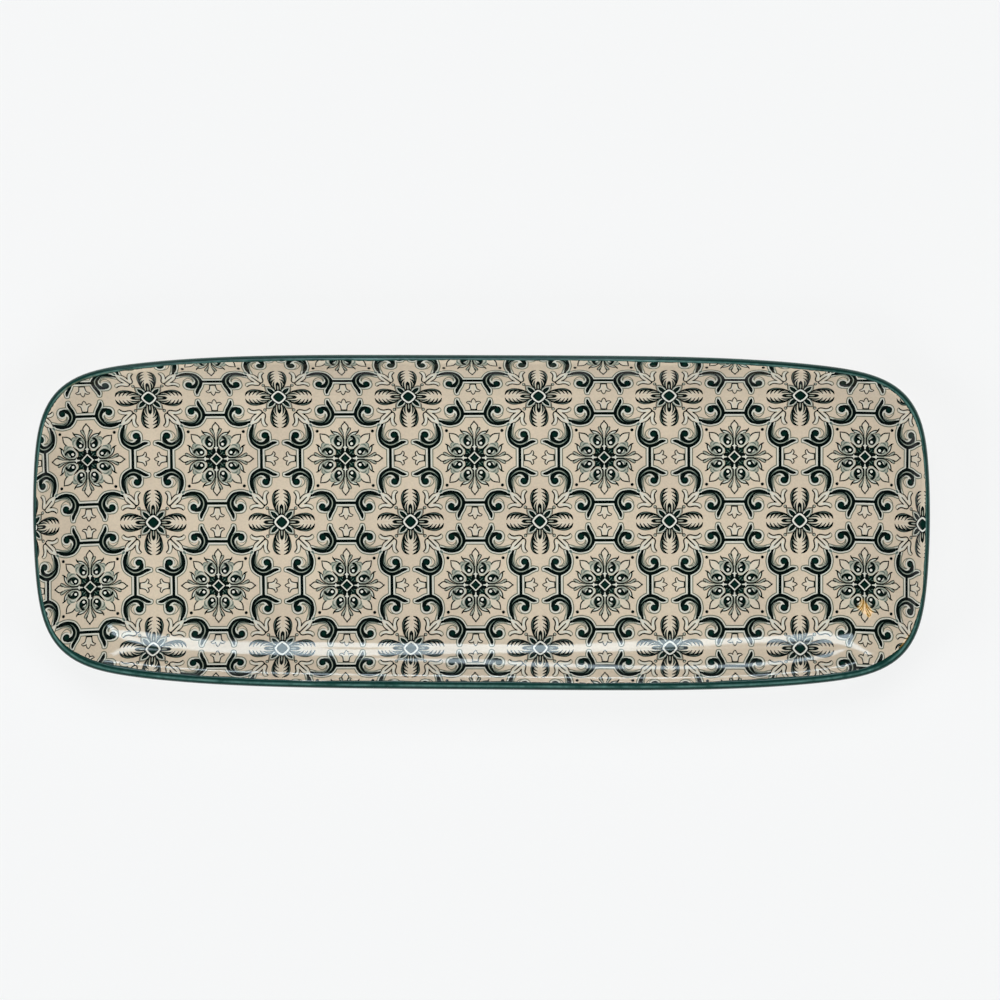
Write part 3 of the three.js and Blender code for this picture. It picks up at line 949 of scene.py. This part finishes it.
def mix(tree, kind, fac, a, b):
    node = tree.nodes.new("ShaderNodeMix")
    node.data_type = "RGBA"
    node.blend_type = kind
    if isinstance(fac, float):
        node.inputs["Factor"].default_value = fac
    else:
        tree.links.new(fac, node.inputs["Factor"])
    for socket, value in (("A", a), ("B", b)):
        target = [i for i in node.inputs if i.name == socket and i.type == "RGBA"][0]
        if isinstance(value, tuple):
            target.default_value = value
        else:
            tree.links.new(value, target)
    return [o for o in node.outputs if o.type == "RGBA"][0]


INK_ROUGHNESS = 0.06


@functools.cache
def ink_material(ink):
    """One printed tone under the clear gloss: its colour drifts a little and is finely grained."""
    red, green, blue = INK_COLOURS[ink]
    material, tree, shader = new_material("tone_" + ink, INK_ROUGHNESS)
    spread = INK_SPREAD.get(ink, USUAL_SPREAD)
    drift = ramp(tree, noise(tree, 38, 4.0), [
        (0.35, srgb(max(red - spread, 1), max(green - spread, 1), max(blue - spread, 1))),
        (0.65, srgb(red + spread, green + spread, blue + spread * 0.7)),
    ])
    grain = ramp(tree, noise(tree, 1500, 2.0), [(0.3, grey(0.9)), (0.7, grey(1))])
    tree.links.new(mix(tree, "MULTIPLY", 1.0, drift, grain), shader.inputs["Base Color"])
    return material


def attribute(tree, name):
    """A value that make_band left on each point."""
    node = tree.nodes.new("ShaderNodeAttribute")
    node.attribute_name = name
    return node.outputs["Fac"]


def green_material():
    """Brushed green glaze: dark where it pools; lighter along the crest, partly where the glaze breaks thin
    and partly a painted highlight, and lighter on the outermost rounding, a painted reflection.
    """
    material, tree, shader = new_material("green_edge_glaze", 0.09)
    shader.inputs["Specular IOR Level"].default_value = 0.32
    # Colour by the angle round the lip: the light stop at 0.57, just outside the crest, is glaze breaking
    # thin plus a painted highlight; the light stop at 0.97, on the outermost rounding, is a painted
    # reflection.
    glaze_break_and_sheen = ramp(tree, attribute(tree, "tilt"), [
        (0.32, srgb(26, 62, 54)),
        (0.46, srgb(10, 50, 45)),
        (0.57, srgb(92, 132, 124)),
        (0.66, srgb(10, 48, 42)),
        (0.82, srgb(10, 52, 46)),
        (0.97, srgb(58, 108, 99)),
    ])
    solid = ramp(tree, noise(tree, 90, 3.0, 0.6), [(0.35, srgb(8, 48, 42)), (0.7, srgb(20, 66, 59))])
    patchy = ramp(tree, noise(tree, 140, 4.0, 0.65), [(0.36, grey(0.25)), (0.54, grey(1))])
    body = mix(tree, "MIX", patchy, solid, glaze_break_and_sheen)
    pooled = ramp(tree, attribute(tree, "across"), [(0.0, grey(0.35)), (0.2, grey(0.5)), (0.5, grey(1))])
    brushed = ramp(tree, noise(tree, 700, 3.0, 0.6), [(0.3, grey(0.72)), (0.7, grey(1.1))])
    body = mix(tree, "MULTIPLY", 1.0, body, pooled)
    tree.links.new(mix(tree, "MULTIPLY", 1.0, body, brushed), shader.inputs["Base Color"])
    return material


def pale_glaze_material():
    material, tree, shader = new_material("pale_outside_glaze", 0.15)
    base = ramp(tree, noise(tree, 45, 4.0), [(0.3, srgb(222, 216, 203)), (0.7, srgb(234, 229, 218))])
    specks = ramp(tree, noise(tree, 900, 2.0, 0.6), [(0.24, srgb(150, 125, 100)), (0.3, grey(1))])
    tree.links.new(mix(tree, "MULTIPLY", 0.6, base, specks), shader.inputs["Base Color"])
    return material


def clay_material():
    material, tree, shader = new_material("bare_fired_clay", 0.85)
    base = ramp(tree, noise(tree, 120, 6.0, 0.6), [(0.3, srgb(200, 184, 160)), (0.7, srgb(220, 206, 184))])
    specks = ramp(tree, noise(tree, 1400, 2.0, 0.6), [(0.28, srgb(120, 98, 76)), (0.36, grey(1))])
    tree.links.new(mix(tree, "MULTIPLY", 0.7, base, specks), shader.inputs["Base Color"])
    bump = tree.nodes.new("ShaderNodeBump")
    bump.inputs["Distance"].default_value = 0.0002
    bump.inputs["Strength"].default_value = 0.5
    tree.links.new(noise(tree, 2500, 4.0, 0.6), bump.inputs["Height"])
    tree.links.new(bump.outputs["Normal"], shader.inputs["Normal"])
    return material


# ---- Stage ---------------------------------------------------------------------------------------

# The camera stands over the tray's +Y side, a little towards +X
CAMERA_DISTANCE = 1.183
CAMERA_LEAN_X = math.radians(2.61)
CAMERA_LEAN_Y = math.radians(6.54)
CAMERA_AIM = Vector((0.00668, 0.00690, 0.010))
CAMERA_LENS = 126.7


def make_camera():
    towards = Vector((math.tan(CAMERA_LEAN_X), math.tan(CAMERA_LEAN_Y), 1)).normalized()
    turn = Matrix.Rotation(math.atan2(towards.x, towards.z), 4, "Y")
    tip = Matrix.Rotation(-math.asin(towards.y), 4, "X")
    camera = add_object("camera", bpy.data.cameras.new("camera"))
    camera.data.lens = CAMERA_LENS
    camera.data.sensor_width = 36
    camera.matrix_world = Matrix.Translation(CAMERA_AIM + towards * CAMERA_DISTANCE) @ turn @ tip
    bpy.context.scene.camera = camera


# The floor is a lit table: it glows evenly and takes only a light shadow
FLOOR_REACH = 4.0
FLOOR_GREY = 0.17
FLOOR_GLOW = 0.75


def make_floor():
    mesh = bpy.data.meshes.new("floor")
    corners = [(x * FLOOR_REACH, y * FLOOR_REACH, 0) for x, y in ((-1, -1), (1, -1), (1, 1), (-1, 1))]
    mesh.from_pydata(corners, [], [(0, 1, 2, 3)])
    floor = add_object("floor", mesh)
    material, tree, shader = new_material("paper_floor", 0.9)
    shader.inputs["Base Color"].default_value = grey(FLOOR_GREY)
    shader.inputs["Specular IOR Level"].default_value = 0.0
    shader.inputs["Emission Color"].default_value = (0.992, 1.0, 1.0, 1)
    shader.inputs["Emission Strength"].default_value = FLOOR_GLOW
    mesh.materials.append(material)


def area_light(name, size, power, colour):
    """A rectangular light that the camera doesn't see."""
    data = bpy.data.lights.new(name, "AREA")
    data.shape = "RECTANGLE"
    data.size, data.size_y = size
    data.energy = power
    data.color = colour
    light = add_object(name, data)
    light.visible_camera = False
    return light


def lamp(name, place, size, power, colour=(1, 1, 1), in_gloss=False, turned=0):
    """A light aimed at the tray and turned by some degrees. in_gloss lets the glaze mirror it."""
    light = area_light(name, size, power, colour)
    place = Vector(place)
    aim = place.to_track_quat("Z", "Y").to_matrix().to_4x4()
    light.matrix_world = Matrix.Translation(place) @ aim @ Matrix.Rotation(math.radians(turned), 4, "Z")
    light.visible_glossy = in_gloss


def pane(name, x, y, size, turned, glow, colour):
    """A level lit pane over the tray that only its gloss shows, turned by some degrees."""
    light = area_light(name, size, glow * math.pi * size[0] * size[1], colour)
    place = Vector((x, y, PANE_HEIGHT))
    light.matrix_world = Matrix.Translation(place) @ Matrix.Rotation(math.radians(turned), 4, "Z")
    light.visible_diffuse = False


PALE_WALL = (0.77, 0.775, 0.78, 1)
DIM_CEILING = (0.04, 0.045, 0.052, 1)


def make_world():
    """Pale walls round a dim ceiling, so that the gloss stays clear seen from above."""
    world = bpy.data.worlds.new("studio")
    bpy.context.scene.world = world
    world.use_nodes = True
    tree = world.node_tree
    where = tree.nodes.new("ShaderNodeTexCoord")
    split = tree.nodes.new("ShaderNodeSeparateXYZ")
    tree.links.new(where.outputs["Generated"], split.inputs["Vector"])
    level = ramp(tree, split.outputs["Z"], [(0.04, PALE_WALL), (0.25, DIM_CEILING)])
    tree.links.new(level, tree.nodes["Background"].inputs["Color"])


# Lights: places and sizes in metres, power in watts, and glow as a pane's brightness
PANE_HEIGHT = 0.95
DAYLIGHT = (0.74, 0.9, 1.0)
SKYLIGHT = (0.96, 0.985, 1.0)
LAMPLIGHT = (1.0, 0.5, 0.05)


def make_lights():
    make_world()
    lamp("key", (0.0, 1.5, 1.9), (1.8, 1.2), 29.5)
    lamp("left_fill", (-1.8, -0.2, 1.3), (1.3, 1.4), 22.5, SKYLIGHT)
    lamp("right_fill", (1.8, -0.2, 1.3), (1.3, 1.4), 20.5, SKYLIGHT)
    lamp("near_fill", (0.0, -1.7, 1.25), (1.6, 1.0), 16.5, SKYLIGHT)
    pane("window_end", -0.192, 1.09, (0.045, 0.42), 0.0, 9.0, DAYLIGHT)
    pane("window_tip", 0.0, 2.125, (0.1, 1.285), -13.5, 8.0, DAYLIGHT)
    pane("window_corner", -0.55, 1.745, (0.15, 1.95), 34.3, 8.5, DAYLIGHT)
    pane("window_left", -0.09, 0.905, (0.22, 0.15), 14, 9.0, DAYLIGHT)
    pane("window_right", 0.033, 0.83, (0.3, 0.08), -70, 9.0, DAYLIGHT)
    lamp("far_strip", (-0.1, 2.0, 0.43), (0.55, 0.035), 0.8, DAYLIGHT, True, 15)
    pane("room_lamp", -0.45, 0.21, (0.34, 0.2), -34, 9.0, LAMPLIGHT)


make_print()
make_body()
make_band()
make_camera()
make_floor()
make_lights()
bpy.context.scene.view_settings.view_transform = "Standard"
bpy.context.view_layer.update()
